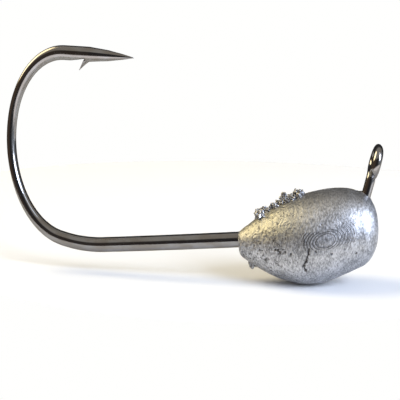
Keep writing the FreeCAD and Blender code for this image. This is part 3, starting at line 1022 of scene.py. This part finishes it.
nib = bmesh.new()
for x, z, radius, seed, stretch in NIB_LUMPS:
    add_lump(nib, (x, 0.0, z), radius, seed, stretch, NIB_TEARING)
vent_nib = finish_piece("torn_nib", nib, cast_lead)

# %% [markdown]
# ## The table and the light
# The jig lies on a sheet of white paper. Two large soft lights shine on it: a warm lamp from
# the upper left, a little behind, and a cool window from the front right. Their reflections
# run along the wire as thin bright lines. The room that the metal mirrors is pale above, dark
# at eye level and behind, and bright below, with one tall window at the front right. The dark
# band is what makes a polished wire look like metal: in a white room it would look like chalk.

# %% Lay the paper
# The jig rests on its belly with the nose up a little, so the paper leans against its frame.
# The sheet is a wide oval, and most of it lies behind the jig.
PAPER_LEAN = math.radians(3.3)
PAPER_RADIUS = 75.0
PAPER_STRETCH = (1.4, 1.0, 1.0)
PAPER_X, PAPER_Y = -8.0, 60.0
PAPER_COLOUR = (0.93, 0.93, 0.925, 1.0)


def make_paper():
    """A flat sheet that touches the lowest corner of the head."""
    material, tree, shader = new_material("white_paper")
    shader.inputs["Base Color"].default_value = PAPER_COLOUR
    shader.inputs["Roughness"].default_value = 0.8
    shader.inputs["Specular IOR Level"].default_value = 0.2
    lean = Matrix.Rotation(PAPER_LEAN, 4, "Y")
    lowest = min((lean.inverted() @ corner.co).z for corner in lead_head.data.vertices) / MM
    sheet = bmesh.new()
    bmesh.ops.create_circle(sheet, cap_ends=True, radius=PAPER_RADIUS, segments=96)
    bmesh.ops.scale(sheet, verts=sheet.verts, vec=PAPER_STRETCH)
    bmesh.ops.translate(sheet, verts=sheet.verts, vec=(PAPER_X, PAPER_Y, lowest))
    bmesh.ops.transform(sheet, matrix=lean, verts=sheet.verts)
    return finish_piece("paper", sheet, material)


paper = make_paper()


# %% Hang the lights
# Each light: name, direction, size in millimetres, power in watts, colour.
LIGHTS = [
    ("warm_lamp", (-0.68, 0.10, 0.70), 480.0, 3.3, (1.0, 0.85, 0.52)),
    ("cool_window", (0.81, -0.47, 0.35), 430.0, 7.1, (0.69, 0.79, 1.0)),
]
LIGHT_DISTANCE = 700.0


def hang_light(name, direction, size, power, colour):
    """A round area light that faces the middle of the object."""
    data = bpy.data.lights.new(name, "AREA")
    data.shape = "DISK"
    data.size = size * MM
    data.energy = power
    data.color = colour
    light = bpy.data.objects.new(name, data)
    scene.collection.objects.link(light)
    aim = Vector(direction).normalized()
    light.location = aim * LIGHT_DISTANCE * MM
    light.rotation_mode = "QUATERNION"
    light.rotation_quaternion = aim.to_track_quat("Z", "Y")


for light_settings in LIGHTS:
    hang_light(*light_settings)
    print("hung", light_settings[0])


# %% Paint the room
# The colours of the room that the metal mirrors, then the light that falls on dull surfaces,
# and what shows past the paper.
WALL_LEFT = (0.16, 0.115, 0.085)
WALL_MIDDLE = (0.045, 0.045, 0.05)
WALL_RIGHT = (0.42, 0.47, 0.53)
CEILING = (0.56, 0.53, 0.48)
WINDOW = (2.3, 2.6, 3.1)
WALL_BEHIND = (0.10, 0.10, 0.105)
TABLE_TOP = (1.85, 1.82, 1.88)
SOFT_LIGHT = (0.41, 0.41, 0.42)
BACKDROP = (1.0, 1.0, 0.99)


def make_room():
    """The world: a plain white to the camera, a soft grey light, and a room in reflections."""
    world = bpy.data.worlds.new("room")
    scene.world = world
    world.use_nodes = True
    tree = world.node_tree
    direction = add_node(tree, "ShaderNodeTexCoord").outputs["Generated"]
    parts = add_node(tree, "ShaderNodeSeparateXYZ", {"Vector": direction}).outputs
    across, away, up = parts["X"], parts["Y"], parts["Z"]
    eye_level = blend_colours(
        tree, spread(tree, across, -0.9, 0.0, 0.0, 1.0), WALL_LEFT, WALL_MIDDLE
    )
    eye_level = blend_colours(
        tree, spread(tree, across, 0.25, 0.95, 0.0, 1.0), eye_level, WALL_RIGHT
    )
    ceiling = blend_colours(tree, spread(tree, up, 0.48, 0.66, 0.0, 1.0), eye_level, CEILING)
    window = arithmetic(
        tree,
        "MULTIPLY",
        spread(tree, away, -0.52, -0.44, 0.0, 1.0),
        spread(tree, away, -0.30, -0.22, 1.0, 0.0),
    )
    window = arithmetic(tree, "MULTIPLY", window, spread(tree, across, 0.25, 0.45, 0.0, 1.0))
    window = arithmetic(tree, "MULTIPLY", window, spread(tree, up, -0.15, 0.0, 0.0, 1.0))
    ceiling = blend_colours(tree, window, ceiling, WINDOW)
    behind = blend_colours(tree, spread(tree, away, 0.30, 0.55, 0.0, 1.0), ceiling, WALL_BEHIND)
    table = blend_colours(tree, spread(tree, up, -0.42, -0.32, 0.0, 1.0), TABLE_TOP, behind)
    seen = add_node(tree, "ShaderNodeLightPath").outputs
    soft = blend_colours(tree, seen["Is Diffuse Ray"], table, SOFT_LIGHT)
    final = blend_colours(tree, seen["Is Camera Ray"], soft, BACKDROP)
    background = tree.nodes["Background"]
    tree.links.new(final, background.inputs["Color"])


make_room()
scene.view_settings.view_transform = "Standard"
scene.view_settings.look = "None"
print("the room is lit")

# %% [markdown]
# ## Tie the pieces to the part
# Nothing moves, so every piece rides on the one body. Each finished piece stands for the
# plain CAD node of the same thing, which is hidden.

PIECES = [
    (hook, "hook", "black_nickel_steel"),
    (lead_head, "lead_head", "cast_lead"),
    (gate_crumbs, "gate_crumbs", "cast_lead"),
    (vent_nib, "vent_nib", "cast_lead"),
]
for piece, node, slot in PIECES:
    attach(piece, "root")
    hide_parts(node)
    print(piece.name, "stands for", node)
